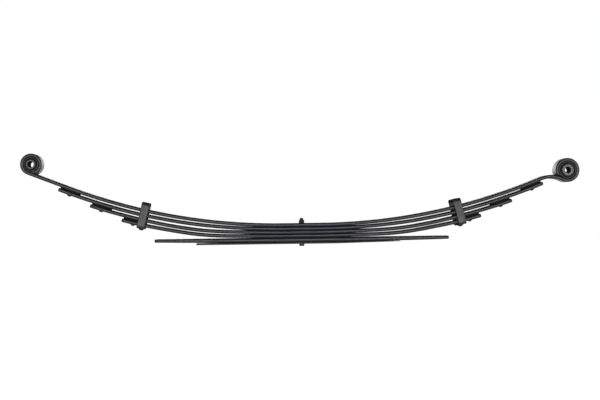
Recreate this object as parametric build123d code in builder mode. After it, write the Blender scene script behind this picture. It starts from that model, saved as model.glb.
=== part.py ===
from build123d import *
import os
from math import asin, atan2, cos, degrees, hypot, radians, sin, sqrt, tan

# Multi-leaf truck spring in millimetres. X runs along the spring with the front eye at +X, Y runs
# across the leaves and Z is up. The origin is on the centre bolt's axis, at the underside of the pack.

# Leaves
LEAF_WIDTH = 63.5
LEAF_THICKNESS = 9.525
ARC_RADIUS = 1556.0  # main leaf's top face, outside the flat seat
SEAT_HALF = 50.0  # half-length of the flat clamped stretch
TIP_REACH = {2: 636.7, 3: 554.5, 4: 472.5}  # horizontal reach of each graduated leaf
# Opening above each graduated leaf: (height between seat and tip, reach where it starts, reach where
# it is full). Towards the tips it changes to the height that the tip pads set.
LEAF_GAPS = {2: (2.4, 52.0, 330.0), 3: (4.4, 110.0, 280.0), 4: (2.2, 60.0, 280.0)}
TIP_GAPS = {2: 3.0, 3: 3.2, 4: 3.6}
TIP_GAP_START = 340.0
TIP_GAP_FULL = 426.0
FILM_GAP = 0.04  # part of each opening that appears right beside the seat
FILM_LENGTH = 80.0
TIP_NOSE_RADIUS = 3.2
TIP_CORNER = 5.0  # rounding of each tip's corners, seen from above
CURVE_STEPS = 14  # stretches in each half of a graduated leaf's curve

# Overload leaf and the thin helper leaf below it
OVERLOAD_THICKNESS = 12.3
OVERLOAD_TIP_THICKNESS = 8.8
OVERLOAD_HALF = 388.0
OVERLOAD_FLAT_HALF = 60.0
OVERLOAD_NOSE_RADIUS = 3.6
HELPER_THICKNESS = 4.5
HELPER_REAR = 278.0
HELPER_FRONT = 260.0
HELPER_TAPER_START = 92.0
HELPER_FRONT_THICKNESS = 1.0

PACK_HEIGHT = 4 * LEAF_THICKNESS + OVERLOAD_THICKNESS + HELPER_THICKNESS
ARC_CENTER_Z = PACK_HEIGHT + ARC_RADIUS

# Eyes and bushings
EYE_FIT = 0.05  # radial clearance of a bushing shell in its eye, and of a sleeve in its rubber
REAR_EYE_REACH = 709.2
REAR_EYE_RUN = 110.0  # straight stretch of the main leaf before the rear eye
REAR_ROLL_END = 297.0  # direction, in degrees, in which the rolled eye's end lies
FRONT_EYE_REACH = 703.5
FRONT_EYE_HEIGHT = 130.7  # above the main leaf's top face at the seat
GOOSENECK_RADIUS = 75.0
FRONT_ROLL_END = 201.0
ROLL_TOE = 20.0  # degrees by which the inner edge of a roll's slanted end leads the outer edge
REAR_BUSHING_DIAMETER = 38.1
FRONT_BUSHING_DIAMETER = 44.45
SHELL_WALL = 1.6
SHELL_LENGTH = 62.0
SLEEVE_LENGTH = 76.0
SLEEVE_BORE = 16.2
REAR_SLEEVE_DIAMETER = 24.0
FRONT_SLEEVE_DIAMETER = 30.0
SLEEVE_CHAMFER = 0.8
RUBBER_LIP = 3.5  # how far the rubber stands out of its shell, beside the sleeve
RUBBER_LIP_CHAMFER = 1.0
# Moulded groove in each end face of the rubber: (part of the rubber's wall, depth under the shell's end)
GROOVE_BOTTOM = [(0.36, 1.0), (0.86, 3.0)]
LIP_SHARE = 0.32  # part of the rubber's wall that the lip takes
RUBBER_EDGE_DEPTH = 1.5  # depth of the rubber beside the shell

# Tip pads and rivets
PAD_LENGTH = {2: 51.0, 3: 51.0, 4: 39.0}  # the fourth leaf's pads stop at the clip rivets
PAD_WIDTH = 58.0
PAD_SETBACK = 4.0  # from the leaf's tip to the pad
RIVET_SETBACK = 29.5  # from the leaf's tip to the rivet
PAD_CORNER = 5.0
PART_CLEARANCE = 0.12  # between a leaf and what an arm of the spring carries
RIVET_SHANK = 8.0
RIVET_HEAD = 13.0
RIVET_HEAD_HEIGHT = 4.0
RIVET_FLAT_HEAD = 12.5
RIVET_FLAT_HEIGHT = 1.2
RIVET_HOLE_CLEARANCE = 0.15

# Rebound clips
CLIP_REACH = {"rear": 421.0, "front": 418.0}
CLIP_YAW = {"rear": 0.0, "front": 4.5}  # the front clip sits slightly turned on its rivet
CLIP_STRAP_WIDTH = 21.0
CLIP_THICKNESS = 5.5
CLIP_INNER_HALF = 34.0
CLIP_STAND = 17.0  # top of the clip above the main leaf
CLIP_END_GAP = 10.0  # between the two folded ends
CLIP_BASE_BEND = 1.5
CLIP_TOP_BEND = 4.5
CLIP_EDGE_RADIUS = 1.6
CLIP_RIVET_DOME = 16.0
CLIP_RIVET_DOME_HEIGHT = 5.0
CLIP_RIVET_HEAD = 13.0
CLIP_RIVET_TOP_HEIGHT = 1.5

# Centre bolt
BOLT_DIAMETER = 9.5
BOLT_HOLE = 9.9
BOLT_HEAD_DIAMETER = 13.5
BOLT_HEAD_HEIGHT = 6.2
BOLT_STAND = 13.4  # end of the bolt above the main leaf
NUT_FLATS = 14.3
NUT_HEIGHT = 8.4
NUT_BORE = 9.6
NUT_CONE = 30.0  # slope, in degrees, of the cone turned on both ends of the nut
BOLT_HEAD_ROUNDING = 2.0
BOLT_END_CHAMFER = 1.2

SIDES = {"rear": -1, "front": 1}


def ease(value):
    """Smooth step from 0 to 1."""
    value = min(max(value, 0.0), 1.0)
    return value * value * (3.0 - 2.0 * value)


def top_radius(order, reach):
    """Radius of a leaf's top face about its arc centre, at a horizontal reach from the bolt."""
    radius = ARC_RADIUS + (order - 1) * LEAF_THICKNESS
    for lower in range(2, order + 1):
        height, start, full = LEAF_GAPS[lower]
        radius += FILM_GAP * ease((reach - SEAT_HALF) / FILM_LENGTH)
        radius += (height - FILM_GAP) * ease((reach - start) / (full - start))
        change = ease((reach - TIP_GAP_START) / (TIP_GAP_FULL - TIP_GAP_START))
        radius += (TIP_GAPS[lower] - height) * change
    return radius


def bend_angle(order, reach):
    """Angle of the leaf at a horizontal reach, from the vertical through its arc centre."""
    return asin((reach - SEAT_HALF) / top_radius(order, reach))


def leaf_point(order, reach, depth=0.0):
    """Point of the front half of a leaf, at a depth under its top face."""
    radius = top_radius(order, reach) + depth
    angle = bend_angle(order, reach)
    return (SEAT_HALF + radius * sin(angle), ARC_CENTER_Z - radius * cos(angle))


def leaf_direction(side, order, reach):
    """Unit vectors along a leaf and square to it, at a horizontal reach on one side."""
    angle = side * bend_angle(order, reach)
    return Vector(cos(angle), 0, sin(angle)), Vector(-sin(angle), 0, cos(angle))


def leaf_origin(side, order, reach, depth):
    """Point in space on a leaf, at a depth under its top face."""
    x, z = leaf_point(order, reach, depth)
    return Vector(side * x, 0, z)


def side_plane(side, order, reach, depth):
    """Plane of the side view: x along the leaf, y square to it."""
    along, _ = leaf_direction(side, order, reach)
    return Plane(origin=leaf_origin(side, order, reach, depth), x_dir=along, z_dir=(0, -1, 0))


def face_plane(side, order, reach, depth):
    """Plane lying on the leaf: x along the leaf, z square to it."""
    along, square = leaf_direction(side, order, reach)
    return Plane(origin=leaf_origin(side, order, reach, depth), x_dir=along, z_dir=square)


def cross_plane(side, order, reach, depth, yaw):
    """Plane across the leaf: x across the spring, y square to the leaf, turned about y by the yaw."""
    along, _ = leaf_direction(side, order, reach)
    across = Vector(0, 1, 0)
    turn = radians(yaw)
    return Plane(
        origin=leaf_origin(side, order, reach, depth),
        x_dir=across * cos(turn) - along * sin(turn),
        z_dir=along * cos(turn) + across * sin(turn),
    )


def polar(center, radius, angle):
    """Point in the side view at an angle in degrees about a centre."""
    return (center[0] + radius * cos(radians(angle)), center[1] + radius * sin(radians(angle)))


def direction(start, end):
    """Direction in degrees from one point of the side view to another."""
    return degrees(atan2(end[1] - start[1], end[0] - start[0]))


def circle_meeting(first, first_radius, second, second_radius):
    """Lower meeting point of two circles of the side view."""
    across, up = second[0] - first[0], second[1] - first[1]
    distance = hypot(across, up)
    run = (first_radius**2 - second_radius**2 + distance**2) / (2 * distance)
    rise = sqrt(first_radius**2 - run**2)
    base = (first[0] + run * across / distance, first[1] + run * up / distance)
    return (base[0] - rise * up / distance, base[1] + rise * across / distance)


# Rear eye: the leaf runs straight off its arc and is rolled up and over.
REAR_ARC_CENTER = (-SEAT_HALF, ARC_CENTER_Z)
rear_eye_radius = REAR_BUSHING_DIAMETER / 2 + EYE_FIT
rear_eye_outer = rear_eye_radius + LEAF_THICKNESS
rear_swing = ARC_RADIUS - rear_eye_radius
rear_lead = degrees(atan2(REAR_EYE_RUN, rear_swing))
rear_arc_angle = degrees(asin((REAR_EYE_REACH - SEAT_HALF) / hypot(rear_swing, REAR_EYE_RUN))) - rear_lead
rear_run = (-REAR_EYE_RUN * cos(radians(rear_arc_angle)), REAR_EYE_RUN * sin(radians(rear_arc_angle)))
REAR_EYE = (
    -SEAT_HALF - rear_swing * sin(radians(rear_arc_angle)) + rear_run[0],
    ARC_CENTER_Z - rear_swing * cos(radians(rear_arc_angle)) + rear_run[1],
)
rear_start = 270.0 - rear_arc_angle
rear_wrap = rear_start - (REAR_ROLL_END - 360.0)

# Front eye: a gooseneck of opposite curvature leads into the roll.
FRONT_ARC_CENTER = (SEAT_HALF, ARC_CENTER_Z)
FRONT_EYE = (FRONT_EYE_REACH, PACK_HEIGHT + FRONT_EYE_HEIGHT)
front_eye_radius = FRONT_BUSHING_DIAMETER / 2 + EYE_FIT
front_eye_outer = front_eye_radius + LEAF_THICKNESS
neck_center = circle_meeting(
    FRONT_EYE,
    front_eye_radius + GOOSENECK_RADIUS,
    FRONT_ARC_CENTER,
    ARC_RADIUS + GOOSENECK_RADIUS,
)
front_arc_end = direction(FRONT_ARC_CENTER, neck_center)
front_arc_angle = front_arc_end + 90.0
neck_start = direction(neck_center, FRONT_ARC_CENTER)
neck_end = direction(neck_center, FRONT_EYE)
front_start = neck_end + 180.0
front_wrap = FRONT_ROLL_END + 360.0 - front_start

EYES = {"rear": REAR_EYE, "front": FRONT_EYE}
EYE_RADII = {"rear": rear_eye_radius, "front": front_eye_radius}
SLEEVE_DIAMETERS = {"rear": REAR_SLEEVE_DIAMETER, "front": FRONT_SLEEVE_DIAMETER}

seat_top = PACK_HEIGHT
seat_bottom = PACK_HEIGHT - LEAF_THICKNESS
lower_radius = ARC_RADIUS + LEAF_THICKNESS

with BuildPart() as main_leaf:
    with BuildSketch(Plane.XZ):
        with BuildLine():
            # Top face, from the front to the rear
            CenterArc(
                FRONT_EYE,
                front_eye_radius,
                front_start + front_wrap + ROLL_TOE,
                -front_wrap - ROLL_TOE,
            )
            CenterArc(neck_center, GOOSENECK_RADIUS, neck_end, neck_start - neck_end)
            CenterArc(FRONT_ARC_CENTER, ARC_RADIUS, front_arc_end, -front_arc_angle)
            Line((SEAT_HALF, seat_top), (-SEAT_HALF, seat_top))
            CenterArc(REAR_ARC_CENTER, ARC_RADIUS, -90, -rear_arc_angle)
            Line(
                polar(REAR_ARC_CENTER, ARC_RADIUS, rear_start),
                polar(REAR_EYE, rear_eye_radius, rear_start),
            )
            CenterArc(REAR_EYE, rear_eye_radius, rear_start, -rear_wrap - ROLL_TOE)
            # Slanted end of the rear roll
            Line(
                polar(REAR_EYE, rear_eye_radius, REAR_ROLL_END - ROLL_TOE),
                polar(REAR_EYE, rear_eye_outer, REAR_ROLL_END),
            )
            # Lower face, from the rear to the front
            CenterArc(REAR_EYE, rear_eye_outer, REAR_ROLL_END, rear_wrap)
            Line(
                polar(REAR_EYE, rear_eye_outer, rear_start),
                polar(REAR_ARC_CENTER, lower_radius, rear_start),
            )
            CenterArc(REAR_ARC_CENTER, lower_radius, rear_start, rear_arc_angle)
            Line((-SEAT_HALF, seat_bottom), (SEAT_HALF, seat_bottom))
            CenterArc(FRONT_ARC_CENTER, lower_radius, -90, front_arc_angle)
            CenterArc(neck_center, GOOSENECK_RADIUS - LEAF_THICKNESS, neck_start, neck_end - neck_start)
            CenterArc(FRONT_EYE, front_eye_outer, front_start, front_wrap)
            # Slanted end of the front roll
            Line(
                polar(FRONT_EYE, front_eye_outer, FRONT_ROLL_END),
                polar(FRONT_EYE, front_eye_radius, FRONT_ROLL_END + ROLL_TOE),
            )
        make_face()
    extrude(amount=LEAF_WIDTH / 2, both=True)
    with Locations((0, 0, seat_top)):
        Hole(radius=BOLT_HOLE / 2, depth=2 * LEAF_THICKNESS)
main_leaf.part.label = "main_leaf"


def reach_from_tip(order, setback):
    """Reach of a place that lies a distance in from a leaf's tip, along the leaf."""
    return TIP_REACH[order] - setback * cos(bend_angle(order, TIP_REACH[order]))


def graduated_leaf(order, rivet_places):
    """One of the three leaves under the main leaf: an open curve on each side of a flat seat.

    rivet_places are the (side, reach) of its rivet holes.
    """
    top_z = PACK_HEIGHT - (order - 1) * LEAF_THICKNESS
    step = (TIP_REACH[order] - SEAT_HALF) / CURVE_STEPS
    reaches = [SEAT_HALF + step * count for count in range(CURVE_STEPS + 1)]
    tip_slope = leaf_direction(1, order, TIP_REACH[order])[0]
    ends = [(1, 0), (tip_slope.X, tip_slope.Z)]
    with BuildPart() as leaf:
        with BuildSketch(Plane.XZ) as outline:
            with BuildLine():
                Spline([leaf_point(order, reach) for reach in reaches], tangents=ends)
                Spline([leaf_point(order, reach, LEAF_THICKNESS) for reach in reaches], tangents=ends)
                Line(
                    leaf_point(order, TIP_REACH[order]),
                    leaf_point(order, TIP_REACH[order], LEAF_THICKNESS),
                )
                mirror(about=Plane.YZ)
                Line((-SEAT_HALF, top_z), (SEAT_HALF, top_z))
                Line((-SEAT_HALF, top_z - LEAF_THICKNESS), (SEAT_HALF, top_z - LEAF_THICKNESS))
            make_face()
            corners = outline.vertices().sort_by(Axis.X)
            fillet([*corners[:2], *corners[-2:]], radius=TIP_NOSE_RADIUS)
        extrude(amount=LEAF_WIDTH / 2, both=True)
        with BuildSketch(Plane.XY):
            end = leaf_point(order, TIP_REACH[order], LEAF_THICKNESS)[0]
            RectangleRounded(2 * end, LEAF_WIDTH, TIP_CORNER)
        extrude(amount=ARC_RADIUS, both=True, mode=Mode.INTERSECT)
        with Locations((0, 0, top_z)):
            Hole(radius=BOLT_HOLE / 2, depth=2 * LEAF_THICKNESS)
        for side, reach in rivet_places:
            with BuildSketch(face_plane(side, order, reach, 0)):
                Circle(RIVET_SHANK / 2 + RIVET_HOLE_CLEARANCE)
            extrude(amount=2 * LEAF_THICKNESS, both=True, mode=Mode.SUBTRACT)
    return leaf


tip_rivets = {
    order: [(side, reach_from_tip(order, RIVET_SETBACK)) for side in SIDES.values()]
    for order in LEAF_GAPS
}
clip_rivets = [(side, CLIP_REACH[name]) for name, side in SIDES.items()]

second_leaf = graduated_leaf(2, tip_rivets[2])
second_leaf.part.label = "second_leaf"
third_leaf = graduated_leaf(3, tip_rivets[3])
third_leaf.part.label = "third_leaf"
fourth_leaf = graduated_leaf(4, [*tip_rivets[4], *clip_rivets])
fourth_leaf.part.label = "fourth_leaf"

overload_bottom = HELPER_THICKNESS
overload_top = HELPER_THICKNESS + OVERLOAD_THICKNESS

with BuildPart() as overload_leaf:
    with BuildSketch(Plane.XZ) as outline:
        with BuildLine():
            Line((OVERLOAD_HALF, overload_top), (OVERLOAD_HALF, overload_top - OVERLOAD_TIP_THICKNESS))
            TangentArc(
                (OVERLOAD_FLAT_HALF, overload_bottom),
                (OVERLOAD_HALF, overload_top - OVERLOAD_TIP_THICKNESS),
                tangent=(1, 0),
            )
            mirror(about=Plane.YZ)
            Line((-OVERLOAD_HALF, overload_top), (OVERLOAD_HALF, overload_top))
            Line((-OVERLOAD_FLAT_HALF, overload_bottom), (OVERLOAD_FLAT_HALF, overload_bottom))
        make_face()
        corners = outline.vertices().sort_by(Axis.X)
        fillet([*corners[:2], *corners[-2:]], radius=OVERLOAD_NOSE_RADIUS)
    extrude(amount=LEAF_WIDTH / 2, both=True)
    with BuildSketch(Plane.XY):
        RectangleRounded(2 * OVERLOAD_HALF, LEAF_WIDTH, TIP_CORNER)
    extrude(amount=PACK_HEIGHT, mode=Mode.INTERSECT)
    with Locations((0, 0, overload_top)):
        Hole(radius=BOLT_HOLE / 2, depth=2 * OVERLOAD_THICKNESS)
overload_leaf.part.label = "overload_leaf"

with BuildPart() as lower_helper_leaf:
    with BuildSketch(Plane.XZ):
        with BuildLine():
            Polyline(
                (-HELPER_REAR, 0),
                (HELPER_TAPER_START, 0),
                (HELPER_FRONT, HELPER_THICKNESS - HELPER_FRONT_THICKNESS),
                (HELPER_FRONT, HELPER_THICKNESS),
                (-HELPER_REAR, HELPER_THICKNESS),
                close=True,
            )
        make_face()
    extrude(amount=LEAF_WIDTH / 2, both=True)
    fillet(lower_helper_leaf.edges().filter_by(Axis.Z), radius=TIP_CORNER)
    with Locations((0, 0, HELPER_THICKNESS)):
        Hole(radius=BOLT_HOLE / 2, depth=2 * HELPER_THICKNESS)
lower_helper_leaf.part.label = "lower_helper_leaf"

with BuildPart() as center_bolt:
    with BuildSketch():
        Circle(BOLT_HEAD_DIAMETER / 2)
    extrude(amount=-BOLT_HEAD_HEIGHT)
    fillet(center_bolt.edges().sort_by(Axis.Z)[0], radius=BOLT_HEAD_ROUNDING)
    with BuildSketch():
        Circle(BOLT_DIAMETER / 2)
    extrude(amount=PACK_HEIGHT + BOLT_STAND)
    chamfer(center_bolt.edges().sort_by(Axis.Z)[-1], length=BOLT_END_CHAMFER)
center_bolt.part.label = "center_bolt"

with BuildPart() as center_nut:
    with BuildSketch(Plane.XY.offset(PACK_HEIGHT)):
        RegularPolygon(radius=NUT_FLATS / 2, side_count=6, major_radius=False)
    extrude(amount=NUT_HEIGHT)
    # Both ends of the hexagon are turned to a cone.
    flat_radius = NUT_FLATS / 2
    corner_radius = NUT_FLATS / sqrt(3)
    cone_rise = (corner_radius - flat_radius) * tan(radians(NUT_CONE))
    with BuildSketch(Plane(origin=(0, 0, PACK_HEIGHT), x_dir=(1, 0, 0), z_dir=(0, -1, 0))):
        with BuildLine():
            Polyline(
                (0, 0),
                (flat_radius, 0),
                (corner_radius, cone_rise),
                (corner_radius, NUT_HEIGHT - cone_rise),
                (flat_radius, NUT_HEIGHT),
                (0, NUT_HEIGHT),
                close=True,
            )
        make_face()
    revolve(axis=Axis.Z, mode=Mode.INTERSECT)
    with Locations((0, 0, PACK_HEIGHT + NUT_HEIGHT)):
        Hole(radius=NUT_BORE / 2, depth=NUT_HEIGHT)
center_nut.part.label = "center_nut"


def tip_pad(side, order):
    """Curved pad on top of a leaf's tip, filling the opening under the leaf above."""
    reach = reach_from_tip(order, PAD_SETBACK + PAD_LENGTH[order] / 2)
    height = TIP_GAPS[order]
    radius = top_radius(order, reach)
    half_angle = degrees(PAD_LENGTH[order] / 2 / radius)
    middle = side * degrees(bend_angle(order, reach)) - 90
    center = (side * SEAT_HALF, ARC_CENTER_Z)
    outer = radius - PART_CLEARANCE
    inner = radius - height + PART_CLEARANCE
    with BuildPart() as pad:
        with BuildSketch(Plane.XZ):
            with BuildLine():
                CenterArc(center, outer, middle - half_angle, 2 * half_angle)
                CenterArc(center, inner, middle - half_angle, 2 * half_angle)
                Line(polar(center, outer, middle - half_angle), polar(center, inner, middle - half_angle))
                Line(polar(center, outer, middle + half_angle), polar(center, inner, middle + half_angle))
            make_face()
        extrude(amount=PAD_WIDTH / 2, both=True)
        square = leaf_direction(side, order, reach)[1]
        upright = [edge for edge in pad.edges() if abs(edge.tangent_at(0.5).dot(square)) > 0.99]
        fillet(upright, radius=PAD_CORNER)
        top = face_plane(side, order, reach_from_tip(order, RIVET_SETBACK), PART_CLEARANCE - height)
        with BuildSketch(top):
            Circle(RIVET_FLAT_HEAD / 2)
        extrude(amount=-RIVET_FLAT_HEIGHT, mode=Mode.SUBTRACT)
        with BuildSketch(top):
            Circle(RIVET_SHANK / 2)
        extrude(amount=-2 * height, mode=Mode.SUBTRACT)
    pad.part.label = f"{name_of(side)}_tip_pad_{order}"
    return pad


def rivet(side, order, reach, above, below, flat_radius, flat_height, dome_radius, dome_height, label):
    """Rivet through a leaf: a flat head above it and a dome below.

    above and below are how far the flat head's top and the dome's seat stand off the leaf.
    """
    plane = side_plane(side, order, reach, 0)
    top = above
    seat = -LEAF_THICKNESS - below
    with BuildPart() as body:
        with BuildSketch(plane):
            with BuildLine():
                Polyline(
                    (0, seat - dome_height),
                    (0, top),
                    (flat_radius, top),
                    (flat_radius, top - flat_height),
                    (RIVET_SHANK / 2, top - flat_height),
                    (RIVET_SHANK / 2, seat),
                    (dome_radius, seat),
                )
                TangentArc(
                    (0, seat - dome_height),
                    (dome_radius, seat),
                    tangent=(1, 0),
                )
            make_face()
        revolve(axis=Axis(plane.origin, plane.y_dir))
    body.part.label = label
    return body


def name_of(side):
    """Name of a side of the spring."""
    return "front" if side > 0 else "rear"


def rebound_clip(side):
    """Strap riveted under the fourth leaf, bent up both sides and folded over the main leaf."""
    name = name_of(side)
    reach = CLIP_REACH[name]
    stack = top_radius(4, reach) + LEAF_THICKNESS - ARC_RADIUS
    half = CLIP_INNER_HALF + CLIP_THICKNESS / 2
    bottom = -PART_CLEARANCE - CLIP_THICKNESS / 2
    top = stack + CLIP_STAND - CLIP_THICKNESS / 2
    end = CLIP_END_GAP / 2
    top_bend = CLIP_TOP_BEND + CLIP_THICKNESS / 2
    base_bend = CLIP_BASE_BEND + CLIP_THICKNESS / 2
    plane = cross_plane(side, 4, reach, LEAF_THICKNESS, CLIP_YAW[name])
    with BuildPart() as clip:
        with BuildLine(plane) as path:
            FilletPolyline(
                (end, top),
                (half, top),
                (half, bottom),
                (-half, bottom),
                (-half, top),
                (-end, top),
                radius=[top_bend, base_bend, base_bend, top_bend],
            )
        with BuildSketch(Plane(origin=path.line @ 0, x_dir=plane.z_dir, z_dir=path.line % 0)):
            RectangleRounded(CLIP_STRAP_WIDTH, CLIP_THICKNESS, CLIP_EDGE_RADIUS)
        sweep(path=path.line)
        with BuildSketch(face_plane(side, 4, reach, LEAF_THICKNESS)):
            Circle(RIVET_SHANK / 2)
        extrude(amount=-3 * CLIP_THICKNESS, mode=Mode.SUBTRACT)
    clip.part.label = f"{name}_rebound_clip"
    return clip


def ring(eye, outline):
    """Body turned about an eye's axis, from points of (radius, distance along the axis)."""
    plane = Plane(origin=(eye[0], 0, eye[1]), x_dir=(1, 0, 0), z_dir=(0, 0, 1))
    with BuildPart() as body:
        with BuildSketch(plane):
            with BuildLine():
                Polyline(*outline, close=True)
            make_face()
        revolve(axis=Axis(plane.origin, (0, 1, 0)))
    return body


def mirrored(outline):
    """Full outline of a ring from the half with positive distances, inner radius first."""
    return [*outline, *[(radius, -distance) for radius, distance in reversed(outline)]]


arm_parts = []
for name, side in SIDES.items():
    for order in LEAF_GAPS:
        arm_parts.append(tip_pad(side, order))
        arm_parts.append(
            rivet(
                side,
                order,
                reach_from_tip(order, RIVET_SETBACK),
                TIP_GAPS[order] - PART_CLEARANCE,
                PART_CLEARANCE,
                RIVET_FLAT_HEAD / 2,
                RIVET_FLAT_HEIGHT,
                RIVET_HEAD / 2,
                RIVET_HEAD_HEIGHT,
                f"{name}_tip_rivet_{order}",
            )
        )
    arm_parts.append(rebound_clip(side))
    arm_parts.append(
        rivet(
            side,
            4,
            CLIP_REACH[name],
            PART_CLEARANCE + CLIP_RIVET_TOP_HEIGHT,
            PART_CLEARANCE + CLIP_THICKNESS,
            CLIP_RIVET_HEAD / 2,
            CLIP_RIVET_TOP_HEIGHT,
            CLIP_RIVET_DOME / 2,
            CLIP_RIVET_DOME_HEIGHT,
            f"{name}_clip_rivet",
        )
    )

    eye = EYES[name]
    shell_radius = EYE_RADII[name] - EYE_FIT
    rubber_radius = shell_radius - SHELL_WALL
    sleeve_radius = SLEEVE_DIAMETERS[name] / 2
    bore_radius = SLEEVE_BORE / 2
    shell_half = SHELL_LENGTH / 2
    sleeve_half = SLEEVE_LENGTH / 2
    lip_half = shell_half + RUBBER_LIP
    core_radius = sleeve_radius + EYE_FIT
    rubber_wall = rubber_radius - core_radius

    shell = ring(
        eye,
        mirrored(
            [
                (rubber_radius, 0),
                (rubber_radius, shell_half),
                (shell_radius - SLEEVE_CHAMFER, shell_half),
                (shell_radius, shell_half - SLEEVE_CHAMFER),
            ]
        ),
    )
    shell.part.label = f"{name}_bushing_shell"
    arm_parts.append(shell)

    rubber = ring(
        eye,
        mirrored(
            [
                (core_radius, 0),
                (core_radius, lip_half - RUBBER_LIP_CHAMFER),
                (core_radius + RUBBER_LIP_CHAMFER, lip_half),
                (core_radius + LIP_SHARE * rubber_wall, lip_half),
                *[
                    (core_radius + share * rubber_wall, shell_half - depth)
                    for share, depth in GROOVE_BOTTOM
                ],
                (rubber_radius, shell_half - RUBBER_EDGE_DEPTH),
            ]
        ),
    )
    rubber.part.label = f"{name}_bushing_rubber"
    arm_parts.append(rubber)

    sleeve = ring(
        eye,
        mirrored(
            [
                (bore_radius, 0),
                (bore_radius, sleeve_half - SLEEVE_CHAMFER),
                (bore_radius + SLEEVE_CHAMFER, sleeve_half),
                (sleeve_radius - SLEEVE_CHAMFER, sleeve_half),
                (sleeve_radius, sleeve_half - SLEEVE_CHAMFER),
            ]
        ),
    )
    sleeve.part.label = f"{name}_inner_sleeve"
    arm_parts.append(sleeve)

pack_parts = [
    main_leaf,
    second_leaf,
    third_leaf,
    fourth_leaf,
    overload_leaf,
    lower_helper_leaf,
    center_bolt,
    center_nut,
]

os.makedirs("parts", exist_ok=True)
for piece in [*pack_parts, *arm_parts]:
    export_step(piece.part, f"parts/{piece.part.label}.step")
print("rear eye", REAR_EYE, "front eye", FRONT_EYE, "pack height", PACK_HEIGHT)
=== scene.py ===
from math import acos, asin, atan2, cos, degrees, hypot, pi, radians, sin, sqrt, tan

import bmesh
import bpy
from mathutils import Matrix, Vector


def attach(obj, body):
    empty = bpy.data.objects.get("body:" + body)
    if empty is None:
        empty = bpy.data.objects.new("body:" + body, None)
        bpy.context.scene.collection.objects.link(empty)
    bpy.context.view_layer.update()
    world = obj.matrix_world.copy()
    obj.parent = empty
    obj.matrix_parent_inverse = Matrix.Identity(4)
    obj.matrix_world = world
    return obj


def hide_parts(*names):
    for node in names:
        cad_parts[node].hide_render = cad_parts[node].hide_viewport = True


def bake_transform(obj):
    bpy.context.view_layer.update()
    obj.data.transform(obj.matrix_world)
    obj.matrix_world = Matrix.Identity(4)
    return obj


# A multi-leaf truck spring around its CAD frame. Lengths are in millimetres in the CAD's own axes and
# become metres when a mesh is made.
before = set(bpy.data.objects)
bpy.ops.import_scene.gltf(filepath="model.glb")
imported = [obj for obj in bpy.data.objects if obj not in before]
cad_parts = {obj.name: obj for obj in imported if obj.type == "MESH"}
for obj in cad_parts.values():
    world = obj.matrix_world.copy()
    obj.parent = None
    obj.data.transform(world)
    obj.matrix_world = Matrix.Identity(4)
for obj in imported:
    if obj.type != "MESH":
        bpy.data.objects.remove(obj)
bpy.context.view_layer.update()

MM = 0.001

# ---------------------------------------------------------------- the spring's dimensions
LEAF_WIDTH = 63.5
LEAF_THICKNESS = 9.525
ARC_RADIUS = 1556.0
SEAT_HALF = 50.0
TIP_REACH = {2: 636.7, 3: 554.5, 4: 472.5}
LEAF_GAPS = {2: (2.4, 52.0, 330.0), 3: (4.4, 110.0, 280.0), 4: (2.2, 60.0, 280.0)}
TIP_GAPS = {2: 3.0, 3: 3.2, 4: 3.6}
TIP_GAP_START = 340.0
TIP_GAP_FULL = 426.0
FILM_GAP = 0.04
FILM_LENGTH = 80.0
TIP_NOSE_RADIUS = 3.2
TIP_CORNER = 5.0

OVERLOAD_THICKNESS = 12.3
OVERLOAD_TIP_THICKNESS = 8.8
OVERLOAD_HALF = 388.0
OVERLOAD_FLAT_HALF = 60.0
OVERLOAD_NOSE_RADIUS = 3.6
HELPER_THICKNESS = 4.5
HELPER_REAR = 278.0
HELPER_FRONT = 260.0
HELPER_TAPER_START = 92.0
HELPER_FRONT_THICKNESS = 1.0

PACK_HEIGHT = 4 * LEAF_THICKNESS + OVERLOAD_THICKNESS + HELPER_THICKNESS
ARC_CENTER_Z = PACK_HEIGHT + ARC_RADIUS

EYE_FIT = 0.05
REAR_EYE_REACH = 709.2
REAR_EYE_RUN = 110.0
REAR_ROLL_END = 297.0
FRONT_EYE_REACH = 703.5
FRONT_EYE_HEIGHT = 130.7
GOOSENECK_RADIUS = 75.0
FRONT_ROLL_END = 201.0
ROLL_TOE = 20.0  # degrees by which the inner edge of a roll's slanted end leads the outer edge
BUSHING_RADII = {"rear": 19.05, "front": 22.225}
SLEEVE_RADII = {"rear": 12.0, "front": 15.0}
SHELL_WALL = 1.6
SHELL_HALF = 31.0
SLEEVE_HALF = 38.0
SLEEVE_BORE_RADIUS = 8.1

PAD_LENGTH = {2: 51.0, 3: 51.0, 4: 39.0}
PAD_WIDTH = 58.0
PAD_SETBACK = 4.0
RIVET_SETBACK = 29.5
PART_CLEARANCE = 0.12
RIVET_SHANK = 8.0
RIVET_HEAD = 13.0
RIVET_HEAD_HEIGHT = 4.0
RIVET_FLAT_HEAD = 12.5
RIVET_FLAT_HEIGHT = 1.2

CLIP_REACH = {"rear": 421.0, "front": 418.0}
CLIP_YAW = {"rear": 0.0, "front": 4.5}
CLIP_STRAP_WIDTH = 21.0
CLIP_THICKNESS = 5.5
CLIP_INNER_HALF = 34.0
CLIP_STAND = 17.0
CLIP_END_GAP = 10.0
CLIP_BASE_BEND = 1.5
CLIP_TOP_BEND = 4.5
CLIP_RIVET_DOME = 16.0
CLIP_RIVET_DOME_HEIGHT = 5.0
CLIP_RIVET_HEAD = 13.0
CLIP_RIVET_TOP_HEIGHT = 1.5

BOLT_RADIUS = 4.75
BOLT_HEAD_RADIUS = 6.75
BOLT_HEAD_HEIGHT = 6.2
BOLT_STAND = 13.4
THREAD_PITCH = 1.06
THREAD_DEPTH = 0.55
NUT_FLATS = 14.3
NUT_HEIGHT = 8.4
NUT_CONE = 30.0

SIDES = {"rear": -1, "front": 1}
ARMS = {"rear": "rear_arm", "front": "front_arm"}


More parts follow.
